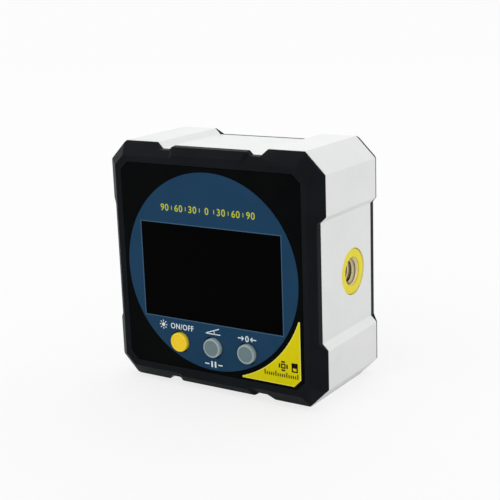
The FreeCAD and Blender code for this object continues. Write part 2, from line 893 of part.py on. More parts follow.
def negative_contact():
    """The lower contact with a leaf spring."""
    x = -cell_from_middle
    return fused([contact_face(x, contact_width, -1), contact_leaf(x, -1), contact_leg(x)])


def positive_contact():
    """The lower contact with a bump."""
    x = cell_from_middle
    return fused([contact_face(x, contact_width, -1), contact_bump(x, -1), contact_leg(x)])


def insert_lathed(outline):
    """A solid turned about the insert's axis, from an outline given as (radius, depth from the side)."""
    y, z = insert_place()
    mouth = FreeCAD.Vector(recess_face - bushing_flange_drop, y, z)
    return lathed(outline, mouth, FreeCAD.Vector(-1, 0, 0), FreeCAD.Vector(0, 0, 1))


def insert_bushing():
    """The yellow moulded bushing that holds the insert: flange outside, closed barrel inside the wall."""
    pocket = insert_radius + insert_press_gap
    pocket_end = bushing_lip + insert_length
    barrel = insert_radius + bushing_wall
    flange = barrel + bushing_flange_lip
    end = pocket_end + bushing_end_wall
    outline = [(bushing_mouth_radius, 0), (flange, 0), (flange, bushing_flange_thickness)]
    outline += [(barrel, bushing_flange_thickness), (barrel, end), (0, end), (0, pocket_end)]
    outline += [(pocket, pocket_end), (pocket, bushing_lip), (bushing_mouth_radius, bushing_lip)]
    return insert_lathed(outline)


def threaded_insert():
    """The brass insert: a round bush with a bore of the thread's minor size and a countersunk mouth."""
    sink = bushing_mouth_radius - insert_bore_radius
    back = bushing_lip + insert_length
    outline = [(bushing_mouth_radius, bushing_lip), (insert_radius, bushing_lip), (insert_radius, back)]
    outline += [(insert_bore_radius, back), (insert_bore_radius, bushing_lip + sink)]
    return insert_lathed(outline)


def main():
    os.makedirs("parts", exist_ok=True)
    export(body_extrusion(), "body_extrusion")
    export(side_magnets(), "side_magnets")
    export(front_cover(), "front_cover")
    export(display_panel(), "display_panel")
    export(dial_film(), "dial_film")
    export(corner_label(), "corner_label")
    for name, x in zip(("power", "hold", "zero"), button_places):
        export(button(x), name + "_button")
        export(plunger(x), name + "_plunger")
    export(switch_housings(), "switch_housings")
    export(lcd_glass(), "lcd_glass")
    export(light_guide(), "light_guide")
    export(lcd_frame(), "lcd_frame")
    export(zebra_strip(), "zebra_strip")
    export(backlight_leds(), "backlight_leds")
    export(main_board(), "main_board")
    export(chip(controller_width, controller_height, controller_place), "controller_chip")
    export(chip(sensor_width, sensor_height, sensor_place), "tilt_sensor")
    export(clock_crystal(), "clock_crystal")
    export(board_screws(), "board_screws")
    export(rear_cover(), "rear_cover")
    export(battery_door(), "battery_door")
    export(aaa_cells(), "aaa_cells")
    export(bridge_contact(), "bridge_contact")
    export(negative_contact(), "negative_contact")
    export(positive_contact(), "positive_contact")
    export(case_screws(), "case_screws")
    export(insert_bushing(), "insert_bushing")
    export(threaded_insert(), "threaded_insert")


main()
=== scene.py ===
import math

import bmesh
import bpy
import numpy as np
from mathutils import Matrix, Vector


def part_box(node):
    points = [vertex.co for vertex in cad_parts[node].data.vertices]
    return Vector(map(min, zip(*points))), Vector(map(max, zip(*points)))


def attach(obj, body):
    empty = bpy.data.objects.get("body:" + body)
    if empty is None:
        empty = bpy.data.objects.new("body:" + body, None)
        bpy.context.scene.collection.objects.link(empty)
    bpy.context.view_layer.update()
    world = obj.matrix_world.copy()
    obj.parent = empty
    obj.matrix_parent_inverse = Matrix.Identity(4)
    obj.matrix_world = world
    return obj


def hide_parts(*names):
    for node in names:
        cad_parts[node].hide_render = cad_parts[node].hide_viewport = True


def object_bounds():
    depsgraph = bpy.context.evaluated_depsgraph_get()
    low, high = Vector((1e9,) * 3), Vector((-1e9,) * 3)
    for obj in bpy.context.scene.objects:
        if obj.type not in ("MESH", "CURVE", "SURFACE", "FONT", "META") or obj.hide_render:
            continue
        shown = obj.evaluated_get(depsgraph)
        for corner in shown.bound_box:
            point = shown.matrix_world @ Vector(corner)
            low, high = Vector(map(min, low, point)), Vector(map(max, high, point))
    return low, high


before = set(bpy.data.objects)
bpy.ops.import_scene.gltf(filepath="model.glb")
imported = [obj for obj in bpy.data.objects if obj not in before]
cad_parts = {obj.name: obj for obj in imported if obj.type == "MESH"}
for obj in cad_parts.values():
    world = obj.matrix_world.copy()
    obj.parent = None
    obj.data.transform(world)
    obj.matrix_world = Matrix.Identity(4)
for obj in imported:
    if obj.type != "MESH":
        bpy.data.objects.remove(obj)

# A square digital angle gauge: an aluminium body between two black moulded covers. Sizes are in metres.
cad_low, cad_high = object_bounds()
MM = 0.001
MIDDLE = (cad_low.z + cad_high.z) / 2

# The round film on the panel and the window in it, each a little below the middle, and the width of a painted
# highlight along the window's edge
dial_low, dial_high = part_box("dial_film")
DIAL_RADIUS = (dial_high.x - dial_low.x) / 2
DIAL_DROP = 0.15 * MM
DIAL_MIDDLE = MIDDLE - DIAL_DROP
FILM_FACE = dial_low.y
WINDOW_WIDTH = 39.5 * MM
WINDOW_HEIGHT = 23.5 * MM
WINDOW_DROP = 0.85 * MM
WINDOW_MIDDLE = MIDDLE - WINDOW_DROP
FILM_HIGHLIGHT_WIDTH = 0.22 * MM

# The label in the lower right corner, how far it stands off the round film, and the width of a painted
# highlight along its edge
label_low, label_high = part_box("corner_label")
LABEL_GAP = 1.25 * MM
LABEL_HIGHLIGHT_WIDTH = 0.18 * MM

# Ink stands out of a film by its rise, and its back lies a little inside the film
INK_RISE = 0.03 * MM
INK_SINK = 0.02 * MM

# Buttons: flange behind the plate and how far it reaches past the cap, rolled rim and dished top
FLANGE_LIP = 0.6 * MM
FLANGE_THICKNESS = 0.8 * MM
RIM_RADIUS = 0.38 * MM
DISH_SLOPE = 0.2 * MM
DISH_DEPTH = 0.16 * MM

# The insert in the right side and its tripod thread, a quarter of an inch with 20 turns to the inch
insert_low, insert_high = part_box("threaded_insert")
INSERT_Y = (insert_low.y + insert_high.y) / 2
INSERT_Z = (insert_low.z + insert_high.z) / 2
INSERT_RADIUS = (insert_high.z - insert_low.z) / 2
THREAD_PITCH = 1.27 * MM
THREAD_MINOR = 2.6 * MM
THREAD_MAJOR = 3.175 * MM
MOUTH_RADIUS = 3.45 * MM

# The share of a turn at which the thread starts, and the share of its wave cut flat at crest and root
THREAD_START = 0.45
THREAD_FLAT = 0.1

# The bushing that holds the insert: pocket with its gap, barrel, flange, closed end and rounded edges
bushing_low, bushing_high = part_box("insert_bushing")
POCKET_GAP = 0.02 * MM
POCKET_RADIUS = INSERT_RADIUS + POCKET_GAP
BARREL_RADIUS = 5.0 * MM
BUSHING_FLANGE = 1.0 * MM
BUSHING_END = 2.0 * MM
BUSHING_EDGE = 0.18 * MM

# The two cells in the bay: can, dimpled flat end, sleeve, sunk washer and nub
cells_low, cells_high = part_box("aaa_cells")
CELL_RADIUS = 5.25 * MM
CELL_LENGTH = 44.5 * MM
CELL_RIM = 0.5 * MM
CELL_NUB_RADIUS = 1.9 * MM
CELL_NUB_HEIGHT = 0.8 * MM
DIMPLE_RADIUS = 3.0 * MM
DIMPLE_SLOPE = 0.4 * MM
DIMPLE_DEPTH = 0.1 * MM
DIMPLE_EDGE = 0.2 * MM
SLEEVE_ROLL = 0.45 * MM
WASHER_SINK = 0.25 * MM
WASHER_STEP = 0.2 * MM
NUB_TAPER = 0.1 * MM
NUB_EDGE = 0.25 * MM

# Steps round a turned piece, round a rounded corner, along each part of a button's top, and down the bore
TURNS = 96
CORNER_STEPS = 6
RIM_STEPS = 9
BORE_STEPS = 200

# On a new piece, points this near are one point, and edges that turn by more degrees than this stay crisp
MERGE = 0.0005 * MM
CRISP_TURN = 35

# The solids whose edges are rounded, and the width of the rounding
EDGE_ROUNDING = {"front_cover": 0.12 * MM, "rear_cover": 0.07 * MM, "body_extrusion": 0.12 * MM,
                 "battery_door": 0.1 * MM}

# On those solids, points this near are one point
WELD = 0.001 * MM

# Faces that turn by less than the first angle are one flat face, and edges past the second are rounded
FLAT_TURN = 0.5
SHARP_TURN = 20

# The soft lamp above and behind the object, and the strength of the surround where nothing sees it directly
LAMP_PLACE = (-0.25, 0.5, 0.55)
LAMP_WIDTH = 0.5
LAMP_WATTS = 0.22
SURROUND = 0.95

# The floor is 40 m wide and lies a little under the lands, so that the two don't share a plane
FLOOR_Z = -0.02 * MM
FLOOR_HALF = 20.0

# How far the floor is lifted to white for the camera, and in metal or through glass
FLOOR_TO_CAMERA = 0.75
FLOOR_IN_GLOSS = 0.2

# The camera: angles in degrees, distance, aim, focal length in pixels of the square frame, and near limit
AZIMUTH = 33.13
ELEVATION = 13.99
ROLL = -1.98
DISTANCE = 277.8 * MM
AIM = Vector((-0.90, 4.2, 31.19)) * MM
FOCAL_PIXELS = 1113.3
FRAME_PIXELS = 500
SENSOR_WIDTH = 36
NEAREST = 0.01


def linear(code):
    """An sRGB hex colour as linear red, green, blue and alpha."""
    values = np.array([int(code[place:place + 2], 16) for place in (1, 3, 5)]) / 255
    curved = np.where(values <= 0.04045, values / 12.92, ((values + 0.055) / 1.055) ** 2.4)
    return (*curved.tolist(), 1.0)


def add(tree, kind, inputs=None, **settings):
    """Add a shader node with its settings. An input is a value, or the output that is linked to it."""
    made = tree.nodes.new("ShaderNode" + kind)
    for name, value in settings.items():
        setattr(made, name, value)
    for name, value in (inputs or {}).items():
        if isinstance(value, bpy.types.NodeSocket):
            tree.links.new(value, made.inputs[name])
        else:
            made.inputs[name].default_value = value
    return made


def pattern(tree, size, detail=2.0, stretch=(1, 1, 1)):
    """Noise on Object coordinates, whose spots are about this size in metres. Noise seldom leaves 0.3 to
    0.7, so that range is spread over 0 to 1."""
    place = add(tree, "TexCoord").outputs["Object"]
    mapped = add(tree, "Mapping", {"Vector": place, "Scale": stretch}).outputs["Vector"]
    noise = add(tree, "TexNoise", {"Vector": mapped, "Scale": 1 / size, "Detail": detail}).outputs["Fac"]
    return add(tree, "MapRange", {"Value": noise, "From Min": 0.3, "From Max": 0.7}).outputs["Result"]


def surface(name, low, high, roughness, cloud, grit, depth, stretch=(1, 1, 1), **sockets):
    """A material made of three patterns: a colour that clouds between two hex codes, a roughness that
    wanders within a range over spots three times as wide as the grit, and a bump of the grit itself.
    Socket names are written with underscores."""
    made = bpy.data.materials.new(name)
    made.use_nodes = True
    tree = made.node_tree
    shader = tree.nodes["Principled BSDF"]
    for socket, value in sockets.items():
        shader.inputs[socket.replace("_", " ")].default_value = value
    clouds = pattern(tree, cloud, detail=3.0)
    mixed = add(tree, "Mix", {"Factor": clouds, "A": linear(low), "B": linear(high)}, data_type="RGBA")
    colour = mixed.outputs["Result"]
    tree.links.new(colour, shader.inputs["Base Color"])
    wander = pattern(tree, 3 * grit, detail=3.0, stretch=stretch)
    duller = add(tree, "MapRange", {"Value": wander, "To Min": roughness[0], "To Max": roughness[1]})
    tree.links.new(duller.outputs["Result"], shader.inputs["Roughness"])
    grains = pattern(tree, grit, stretch=stretch)
    bump = add(tree, "Bump", {"Height": grains, "Distance": depth})
    tree.links.new(bump.outputs["Normal"], shader.inputs["Normal"])
    return made, tree, shader, colour


def recolour(tree, shader, where, colour, code):
    """Show another hex colour where a number is 1, over the colour that the surface has."""
    mixed = add(tree, "Mix", {"Factor": where, "A": colour, "B": linear(code)}, data_type="RGBA")
    tree.links.new(mixed.outputs["Result"], shader.inputs["Base Color"])


def recolour_shade(tree, shader, colour, code):
    """Show another hex colour where the piece's own shade is 1."""
    shade = add(tree, "Attribute", attribute_name="shade").outputs["Fac"]
    recolour(tree, shader, shade, colour, code)


def past_window(tree):
    """Distance outside the window's edge on the front, less than 0 inside it."""
    place = add(tree, "TexCoord").outputs["Object"]
    moved = add(tree, "VectorMath", {0: place, 1: (0.0, 0.0, WINDOW_MIDDLE)}, operation="SUBTRACT").outputs[0]
    away = add(tree, "VectorMath", {0: moved}, operation="ABSOLUTE").outputs[0]
    reach = (WINDOW_WIDTH / 2, 0.0, WINDOW_HEIGHT / 2)
    past = add(tree, "VectorMath", {0: away, 1: reach}, operation="SUBTRACT").outputs[0]
    parts = add(tree, "SeparateXYZ", {"Vector": past}).outputs
    return add(tree, "Math", {0: parts["X"], 1: parts["Z"]}, operation="MAXIMUM").outputs[0]


def from_dial(tree):
    """Distance from the middle of the round film."""
    place = add(tree, "TexCoord").outputs["Object"]
    centre = (0.0, FILM_FACE, DIAL_MIDDLE)
    return add(tree, "VectorMath", {0: place, 1: centre}, operation="DISTANCE").outputs["Value"]


def bead_blasted_aluminium():
    """Extruded 6063, bead blasted and clear anodised: a pale satin skin with a very fine even grain.
    The blasted grit of about 0.1 mm is drawn at 0.25 mm, so that it shows."""
    return surface("bead_blasted_aluminium", "#E4E6E5", "#E8E9E8", roughness=(0.40, 0.48), cloud=9 * MM,
                   grit=0.25 * MM, depth=0.005 * MM, Metallic=1.0)[0]


def spark_textured_abs():
    """Black ABS from a spark-eroded mould: a soft sheen broken by fine pits, which turns grey at a
    grazing angle. The pits of about 0.05 mm are drawn at 0.16 mm."""
    return surface("spark_textured_abs", "#0D1013", "#12161A", roughness=(0.40, 0.50), cloud=6 * MM,
                   grit=0.16 * MM, depth=0.012 * MM, IOR=1.53, Specular_IOR_Level=0.05)[0]


def gloss_acrylic():
    """Cast black acrylic, polished: deep black, deeper still over the display, with a clear gloss that
    fingers have dulled in places, so its grit is as wide as a fingertip's smear."""
    made, tree, shader, colour = surface("gloss_acrylic", "#050607", "#080909", roughness=(0.05, 0.12),
                                         cloud=9 * MM, grit=2.5 * MM, depth=0.0005 * MM, IOR=1.49,
                                         Specular_IOR_Level=0.02)
    inside = add(tree, "Math", {0: past_window(tree), 1: 0.0}, operation="LESS_THAN").outputs[0]
    recolour(tree, shader, inside, colour, "#000000")
    return made


def printed_blue_film():
    """Polyester film printed blue on its face: satin, with a slightly paler painted highlight along its
    edge round the window. The grain of the print, about 0.05 mm, is drawn at 0.2 mm."""
    made, tree, shader, colour = surface("printed_blue_film", "#193C58", "#1D3F5C", roughness=(0.38, 0.46),
                                         cloud=8 * MM, grit=0.2 * MM, depth=0.003 * MM, IOR=1.55,
                                         Specular_IOR_Level=0.04)
    # A paler band along the window's edge: a painted highlight where the film's edge catches the light
    painted_window_highlight = add(tree, "Math", {0: past_window(tree), 1: FILM_HIGHLIGHT_WIDTH}, operation="LESS_THAN").outputs[0]
    recolour(tree, shader, painted_window_highlight, colour, "#3E5C74")
    return made


def printed_yellow_film():
    """Polyester film printed yellow: satin, with a paler painted highlight along its edge all round. The
    grain of the print, about 0.05 mm, is drawn at 0.2 mm."""
    made, tree, shader, colour = surface("printed_yellow_film", "#D5C905", "#DCCF0D",
                                         roughness=(0.34, 0.42), cloud=6 * MM, grit=0.2 * MM,
                                         depth=0.002 * MM, IOR=1.55, Specular_IOR_Level=0.04)
    # A paler band along the arc, the right side and the foot: a painted highlight where the label's edge
    # catches the light
    reach = DIAL_RADIUS + LABEL_GAP + LABEL_HIGHLIGHT_WIDTH
    bow = add(tree, "Math", {0: from_dial(tree), 1: reach}, operation="LESS_THAN").outputs[0]
    place = add(tree, "SeparateXYZ", {"Vector": add(tree, "TexCoord").outputs["Object"]}).outputs
    inner_side = label_high.x - LABEL_HIGHLIGHT_WIDTH
    inner_foot = label_low.z + LABEL_HIGHLIGHT_WIDTH
    side = add(tree, "Math", {0: place["X"], 1: inner_side}, operation="GREATER_THAN").outputs[0]
    foot = add(tree, "Math", {0: place["Z"], 1: inner_foot}, operation="LESS_THAN").outputs[0]
    edge = add(tree, "Math", {0: side, 1: foot}, operation="MAXIMUM").outputs[0]
    edge = add(tree, "Math", {0: edge, 1: bow}, operation="MAXIMUM").outputs[0]
    recolour(tree, shader, edge, colour, "#EBE45C")
    return made


def satin_plastic(name, low, high, roughness=0.4, grit=0.2, depth=0.006, gloss=0.12, shaded=None):
    """Moulded plastic or ink in one colour: faint clouding, a fine even texture and a soft sheen. The
    texture, really about 0.05 mm, is drawn at 0.15 mm or more; grit and depth are in millimetres. A
    third colour shows where the piece's own shade is 1, such as painted shade in the dish of a button."""
    spread = (roughness - 0.04, roughness + 0.06)
    made, tree, shader, colour = surface(name, low, high, spread, cloud=3 * MM, grit=grit * MM,
                                         depth=depth * MM, IOR=1.53, Specular_IOR_Level=gloss)
    if shaded:
        recolour_shade(tree, shader, colour, shaded)
    return made


def machined_metal(name, low, high, roughness=0.25, shaded=None):
    """Metal that was turned, drawn or rolled: bright, with fine streaks along one way. The streaks,
    really about 0.02 mm wide, are drawn at 0.1 mm. A third colour shows where the piece's own shade is
    1, such as painted shade at the root of a thread, or the sleeve of a cell."""
    spread = (roughness - 0.06, roughness + 0.08)
    made, tree, shader, colour = surface(name, low, high, spread, cloud=1.5 * MM, grit=0.1 * MM,
                                         depth=0.0008 * MM, stretch=(6, 1, 1), Metallic=1.0)
    if shaded:
        recolour_shade(tree, shader, colour, shaded)
    return made


FINISHES = {
    "aluminium": bead_blasted_aluminium(),
    "abs": spark_textured_abs(),
    "acrylic": gloss_acrylic(),
    "film": printed_blue_film(),
    "label": printed_yellow_film(),
    # Keycaps moulded in coloured ABS: the paler rolled rim is a painted highlight, the darker dish painted
    # shade
    "yellow_key": satin_plastic("yellow_keycap_abs", "#F9D930", "#FCDE38", 0.38, shaded="#F8D12A"),
    "grey_key": satin_plastic("grey_keycap_abs", "#98A7AA", "#A2B1B4", 0.38, shaded="#6E8185"),
    # Moulded ABS from a polished tool: smoother than the covers, so its face has a soft highlight
    "bushing": satin_plastic("yellow_bushing_abs", "#E8D72C", "#ECDB30", 0.32, 0.3, 0.003),
    # Free-cutting brass, turned: a pale straw gloss, with greyer painted shade at the root of its thread
    "brass": machined_metal("turned_brass", "#D1BF94", "#DBCCA5", 0.24, "#8F8B6C"),
    # Screws: blackened steel in the covers, nearly as dark as they are, and bright zinc plate inside
    "steel": machined_metal("blackened_steel", "#2C2C2E", "#38383A", 0.35),
    "zinc": machined_metal("zinc_plated_steel", "#B8BABC", "#C4C6C8", 0.3),
    # Rolled and plated parts inside: warm nickel on springs and magnets, cooler tin on the crystal's can
    "nickel": machined_metal("nickel_spring_strip", "#BDB6A8", "#CAC3B6", 0.25),
    "magnet": machined_metal("nickel_plated_magnet", "#A9A6A0", "#B4B1AB", 0.28),
    "tin": machined_metal("drawn_tin_can", "#B9BBBD", "#C6C8CA", 0.3),
    # Cells: bright nickel-plated ends, and a shrunk blue-grey foil sleeve between them
    "cell": machined_metal("cell_can_and_sleeve", "#C2C3C2", "#CDCECD", 0.28, "#3B4C5E"),
    # The circuit board and its parts: a wet-looking green lacquer, and dull black moulded epoxy
    "board": satin_plastic("green_solder_mask", "#0E4A24", "#12562B", 0.3, 0.4, 0.004),
    "chip": satin_plastic("moulded_epoxy", "#141415", "#1B1B1C", 0.5, 0.15, 0.006),
    # Switches and the frame of the display, moulded in nylon and ABS: milky or black, with a dry sheen
    "nylon": satin_plastic("white_nylon", "#D8D8D2", "#E0E0DA", 0.45),
    "black_nylon": satin_plastic("black_nylon", "#101011", "#161617", 0.45),
    "white_abs": satin_plastic("white_abs", "#D9D9D4", "#E1E1DC", 0.4),
    # The display behind its window: grey-green glass, a milky light guide, its lamps and its connector
    "glass": satin_plastic("display_cell_glass", "#2A302B", "#303630", 0.12, 1.0, 0.0005, 0.5),
    "guide": satin_plastic("frosted_light_guide", "#E2E8EA", "#EAF0F2", 0.3),
    "zebra": satin_plastic("layered_silicone", "#5E3833", "#6A403A", 0.6),
    "led": satin_plastic("lamp_resin", "#E8DFA0", "#F0E8B0", 0.2),
    # Screen-printed inks: flat and nearly without gloss beside the satin film under them
    "pale_ink": satin_plastic("pale_ink", "#DAE6EC", "#E4EEF3", 0.45, 0.2, 0.001, 0.04),
    "yellow_ink": satin_plastic("yellow_ink", "#B6BD34", "#C0C63C", 0.45, 0.2, 0.001, 0.04),
    "black_ink": satin_plastic("black_ink", "#0E0E0A", "#14140E", 0.45, 0.2, 0.001, 0.04),
}

NODE_FINISHES = {
    "body_extrusion": "aluminium", "front_cover": "abs", "rear_cover": "abs", "battery_door": "abs",
    "display_panel": "acrylic", "dial_film": "film", "corner_label": "label",
    "power_button": "yellow_key", "hold_button": "grey_key", "zero_button": "grey_key",
    "power_plunger": "nylon", "hold_plunger": "nylon", "zero_plunger": "nylon",
    "switch_housings": "black_nylon", "lcd_glass": "glass", "light_guide": "guide", "lcd_frame": "white_abs",
    "zebra_strip": "zebra", "backlight_leds": "led", "main_board": "board", "controller_chip": "chip",
    "tilt_sensor": "chip", "clock_crystal": "tin", "board_screws": "zinc", "case_screws": "steel",
    "side_magnets": "magnet", "aaa_cells": "cell", "bridge_contact": "nickel", "negative_contact": "nickel",
    "positive_contact": "nickel", "insert_bushing": "bushing", "threaded_insert": "brass",
}


def dress_nodes():
    """Give every solid its finish."""
    for name, finish in NODE_FINISHES.items():
        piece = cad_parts[name]
        piece.data.materials.clear()
        piece.data.materials.append(FINISHES[finish])


def beside(node, across=0.0, up=0.0):
    """A place (x, z) on the front, this far across and up from the middle of a solid."""
    low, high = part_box(node)
    return (low.x + high.x) / 2 + across, (low.z + high.z) / 2 + up


def new_piece(name, points, faces, body, finish, shade=None):
    """A closed mesh piece that rides on a body. Points that meet, as at a pole, become one, faces point
    outwards, and edges that turn sharply stay crisp. shade is one number for each point."""
    mesh = bpy.data.meshes.new(name)
    mesh.from_pydata(points, [], faces)
    if shade is not None:
        layer = mesh.attributes.new("shade", "FLOAT", "POINT")
        layer.data.foreach_set("value", np.asarray(shade, np.float32).ravel())
    work = bmesh.new()
    work.from_mesh(mesh)
    bmesh.ops.remove_doubles(work, verts=work.verts, dist=MERGE)
    bmesh.ops.recalc_face_normals(work, faces=work.faces)
    work.to_mesh(mesh)
    work.free()
    mesh.polygons.foreach_set("use_smooth", np.full(len(mesh.polygons), True))
    mesh.set_sharp_from_angle(angle=math.radians(CRISP_TURN))
    mesh.materials.append(FINISHES[finish])
    piece = bpy.data.objects.new(name, mesh)
    bpy.context.scene.collection.objects.link(piece)
    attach(piece, body)
    return piece


def grid_faces(rows, columns, wrap_rows=False):
    """Quads of a grid that closes round its columns and, where asked, round its rows."""
    row = np.arange(rows if wrap_rows else rows - 1)[:, None]
    column = np.arange(columns)[None, :]
    after_row = (row + 1) % rows
    after_column = (column + 1) % columns
    corners = [row * columns + column, row * columns + after_column,
               after_row * columns + after_column, after_row * columns + column]
    return np.stack([corner.ravel() for corner in np.broadcast_arrays(*corners)], 1)


def rounded(points, radius):
    """A profile whose inner corners are rounded. Each corner becomes the curve
    (1 - t)^2 a + 2 t (1 - t) corner + t^2 b, where a and b lie on its two edges, a radius away, or a
    little under half of the edge where that is less."""
    points = np.asarray(points, float)
    result = [points[:1]]
    most = 0.45
    share = np.linspace(0, 1, CORNER_STEPS)[:, None]
    for before, corner, after in zip(points[:-2], points[1:-1], points[2:]):
        arrive = before - corner
        leave = after - corner
        reach = min(radius, most * np.linalg.norm(arrive), most * np.linalg.norm(leave))
        start = corner + arrive / np.linalg.norm(arrive) * reach
        end = corner + leave / np.linalg.norm(leave) * reach
        result.append((1 - share) ** 2 * start + 2 * share * (1 - share) * corner + share ** 2 * end)
    result.append(points[-1:])
    return np.concatenate(result)


def lathe(profile, centre, axis):
    """Points and faces of a profile of (radius, distance along the axis), carried round the axis:
    point = centre + distance x axis + radius x (cos a, sin a) across it."""
    axis = np.asarray(axis, float)
    side = np.array([0.0, 0.0, 1.0]) if abs(axis[2]) < 0.5 else np.array([1.0, 0.0, 0.0])
    across = np.cross(axis, side)
    angle = np.linspace(0, 2 * math.pi, TURNS, endpoint=False)
    ring = np.cos(angle)[:, None] * side + np.sin(angle)[:, None] * across
    points = np.asarray(centre) + profile[:, 1, None, None] * axis + profile[:, 0, None, None] * ring[None]
    return points.reshape(-1, 3), grid_faces(len(profile), TURNS)


def keycap(name, node, body, finish):
    """A button turned from a profile: a flat dish, a short cosine slope up to a rim rolled on a quarter
    circle, straight sides, and the flange behind the plate. Its shade is 1 in the dish, 0 on the rim, and
    paints shade into the dish."""
    low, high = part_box(node)
    x, z = beside(node)
    flange = (high.x - low.x) / 2
    radius = flange - FLANGE_LIP
    flange_front = high.y - FLANGE_THICKNESS
    crest = radius - RIM_RADIUS
    share = np.linspace(0, 1, RIM_STEPS)
    dish = np.stack([share * (crest - DISH_SLOPE), np.full(RIM_STEPS, low.y + DISH_DEPTH)], 1)
    rise = (1 + np.cos(math.pi * share[1:])) / 2
    slope = np.stack([crest - DISH_SLOPE * (1 - share[1:]), low.y + DISH_DEPTH * rise], 1)
    angle = math.pi / 2 * share[1:]
    rim = np.stack([crest + RIM_RADIUS * np.sin(angle), low.y + RIM_RADIUS * (1 - np.cos(angle))], 1)
    rest = np.array([(radius, flange_front), (flange, flange_front), (flange, high.y), (0.0, high.y)])
    profile = np.concatenate([dish, slope, rim, rest])
    # Painted shade: 1 in the dish, falling to 0 up the slope, and 0 on the rim, sides and flange
    painted_dish_shade = np.concatenate([np.ones(RIM_STEPS), rise, np.zeros(len(rim) + len(rest))])
    points, faces = lathe(profile, (x, 0.0, z), (0, 1, 0))
    piece = new_piece(name, points, faces, body, finish, np.repeat(painted_dish_shade, TURNS))
    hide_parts(node)


def tapped_insert():
    """The brass insert. Its bore is a grid over turn and depth: radius = minor + groove depth x a
    triangle wave of (depth / pitch - turn) whose crests and roots are cut flat, so the groove climbs one
    pitch in each turn. The mouth is a 45 degree countersink, and the groove fades out where it meets
    the countersink. Its shade is 1 at the root of the groove, and paints shade into the thread's hollows."""
    depth = insert_high.x - insert_low.x
    along = np.linspace(0, depth, BORE_STEPS)
    turn = np.linspace(0, 1, TURNS, endpoint=False)
    wave = np.abs(((along[:, None] / THREAD_PITCH - turn[None] + THREAD_START) % 1) * 2 - 1)
    groove = np.clip((wave - THREAD_FLAT) / (1 - 2 * THREAD_FLAT), 0, 1)
    bore = THREAD_MINOR + (THREAD_MAJOR - THREAD_MINOR) * groove
    sink = MOUTH_RADIUS - along[:, None]
    # Painted shade at the root of the groove, none on the countersink
    painted_root_shade = np.where(bore > sink, groove, 0.0)
    outside = np.full((2, TURNS), INSERT_RADIUS)
    radius = np.concatenate([np.maximum(bore, sink), outside])
    x = insert_high.x - np.concatenate([along, [depth, 0.0]])
    angle = turn * 2 * math.pi
    points = np.empty((len(radius), TURNS, 3))
    points[..., 0] = x[:, None]
    points[..., 1] = INSERT_Y + radius * np.cos(angle)
    points[..., 2] = INSERT_Z + radius * np.sin(angle)
    faces = grid_faces(len(radius), TURNS, wrap_rows=True)
    shade = np.concatenate([painted_root_shade, np.zeros((2, TURNS))])
    points = points.reshape(-1, 3)
    piece = new_piece("tapped_brass_insert", points, faces, "case", "brass", shade)
    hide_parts("threaded_insert")


def moulded_bushing():
    """The yellow bushing, turned from a profile with rounded edges: mouth, flange, closed barrel, and
    the pocket that holds the insert."""
    flange = (bushing_high.z - bushing_low.z) / 2
    depth = bushing_high.x - bushing_low.x
    lip = bushing_high.x - insert_high.x
    face = [(MOUTH_RADIUS, lip), (MOUTH_RADIUS, 0.0), (flange, 0.0), (flange, BUSHING_FLANGE)]
    barrel = [(BARREL_RADIUS, BUSHING_FLANGE), (BARREL_RADIUS, depth), (0.0, depth)]
    pocket = [(0.0, depth - BUSHING_END), (POCKET_RADIUS, depth - BUSHING_END), (POCKET_RADIUS, lip)]
    front = rounded(face, BUSHING_EDGE)
    profile = np.concatenate([front, barrel, pocket, front[:1]])
    points, faces = lathe(profile, (bushing_high.x, INSERT_Y, INSERT_Z), (-1, 0, 0))
    piece = new_piece("moulded_yellow_bushing", points, faces, "case", "bushing")
    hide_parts("insert_bushing")


def cell_pair():
    """The two small round cells, turned from one profile of (radius, distance from the flat end): the
    dimpled flat end, the sleeve rolled over both ends, the sunk washer and the rounded nub. Its shade
    is 1 on the sleeve."""
    end = CELL_LENGTH - CELL_NUB_HEIGHT
    shoulder = CELL_RADIUS - CELL_RIM
    washer = end - WASHER_SINK
    nub_foot = CELL_NUB_RADIUS + NUB_TAPER
    flat = rounded([(0.0, DIMPLE_DEPTH), (DIMPLE_RADIUS - DIMPLE_SLOPE, DIMPLE_DEPTH), (DIMPLE_RADIUS, 0.0),
                    (shoulder, 0.0)], DIMPLE_EDGE)
    sleeve = rounded([(shoulder, 0.0), (CELL_RADIUS, 0.0), (CELL_RADIUS, end), (shoulder, end)], SLEEVE_ROLL)
    nub = rounded([(shoulder, end), (shoulder - WASHER_STEP, washer), (nub_foot, washer),
                   (CELL_NUB_RADIUS, CELL_LENGTH), (0.0, CELL_LENGTH)], NUB_EDGE)
    profile = np.concatenate([flat, sleeve, nub])
    sleeved = np.concatenate([np.zeros(len(flat)), np.ones(len(sleeve)), np.zeros(len(nub))])
    middle_y = (cells_low.y + cells_high.y) / 2
    side_x = cells_high.x - CELL_RADIUS
    first, faces = lathe(profile, (-side_x, middle_y, cells_high.z - CELL_LENGTH), (0, 0, 1))
    second, _ = lathe(profile, (side_x, middle_y, cells_low.z + CELL_LENGTH), (0, 0, -1))
    points = np.concatenate([first, second])
    both_faces = np.concatenate([faces, faces + len(first)])
    shade = np.tile(np.repeat(sleeved, TURNS), 2)
    piece = new_piece("small_round_cells", points, both_faces, "case", "cell", shade)
    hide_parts("aaa_cells")


def laid(points, lift):
    """Places on the front, given as (x, z), as points in the ink: lift 0 lies inside the film and lift 1
    on the face of the ink."""
    y = FILM_FACE + INK_SINK - (INK_RISE + INK_SINK) * np.asarray(lift, float)
    return np.stack([points[..., 0], np.broadcast_to(y, points[..., 0].shape), points[..., 1]], -1)


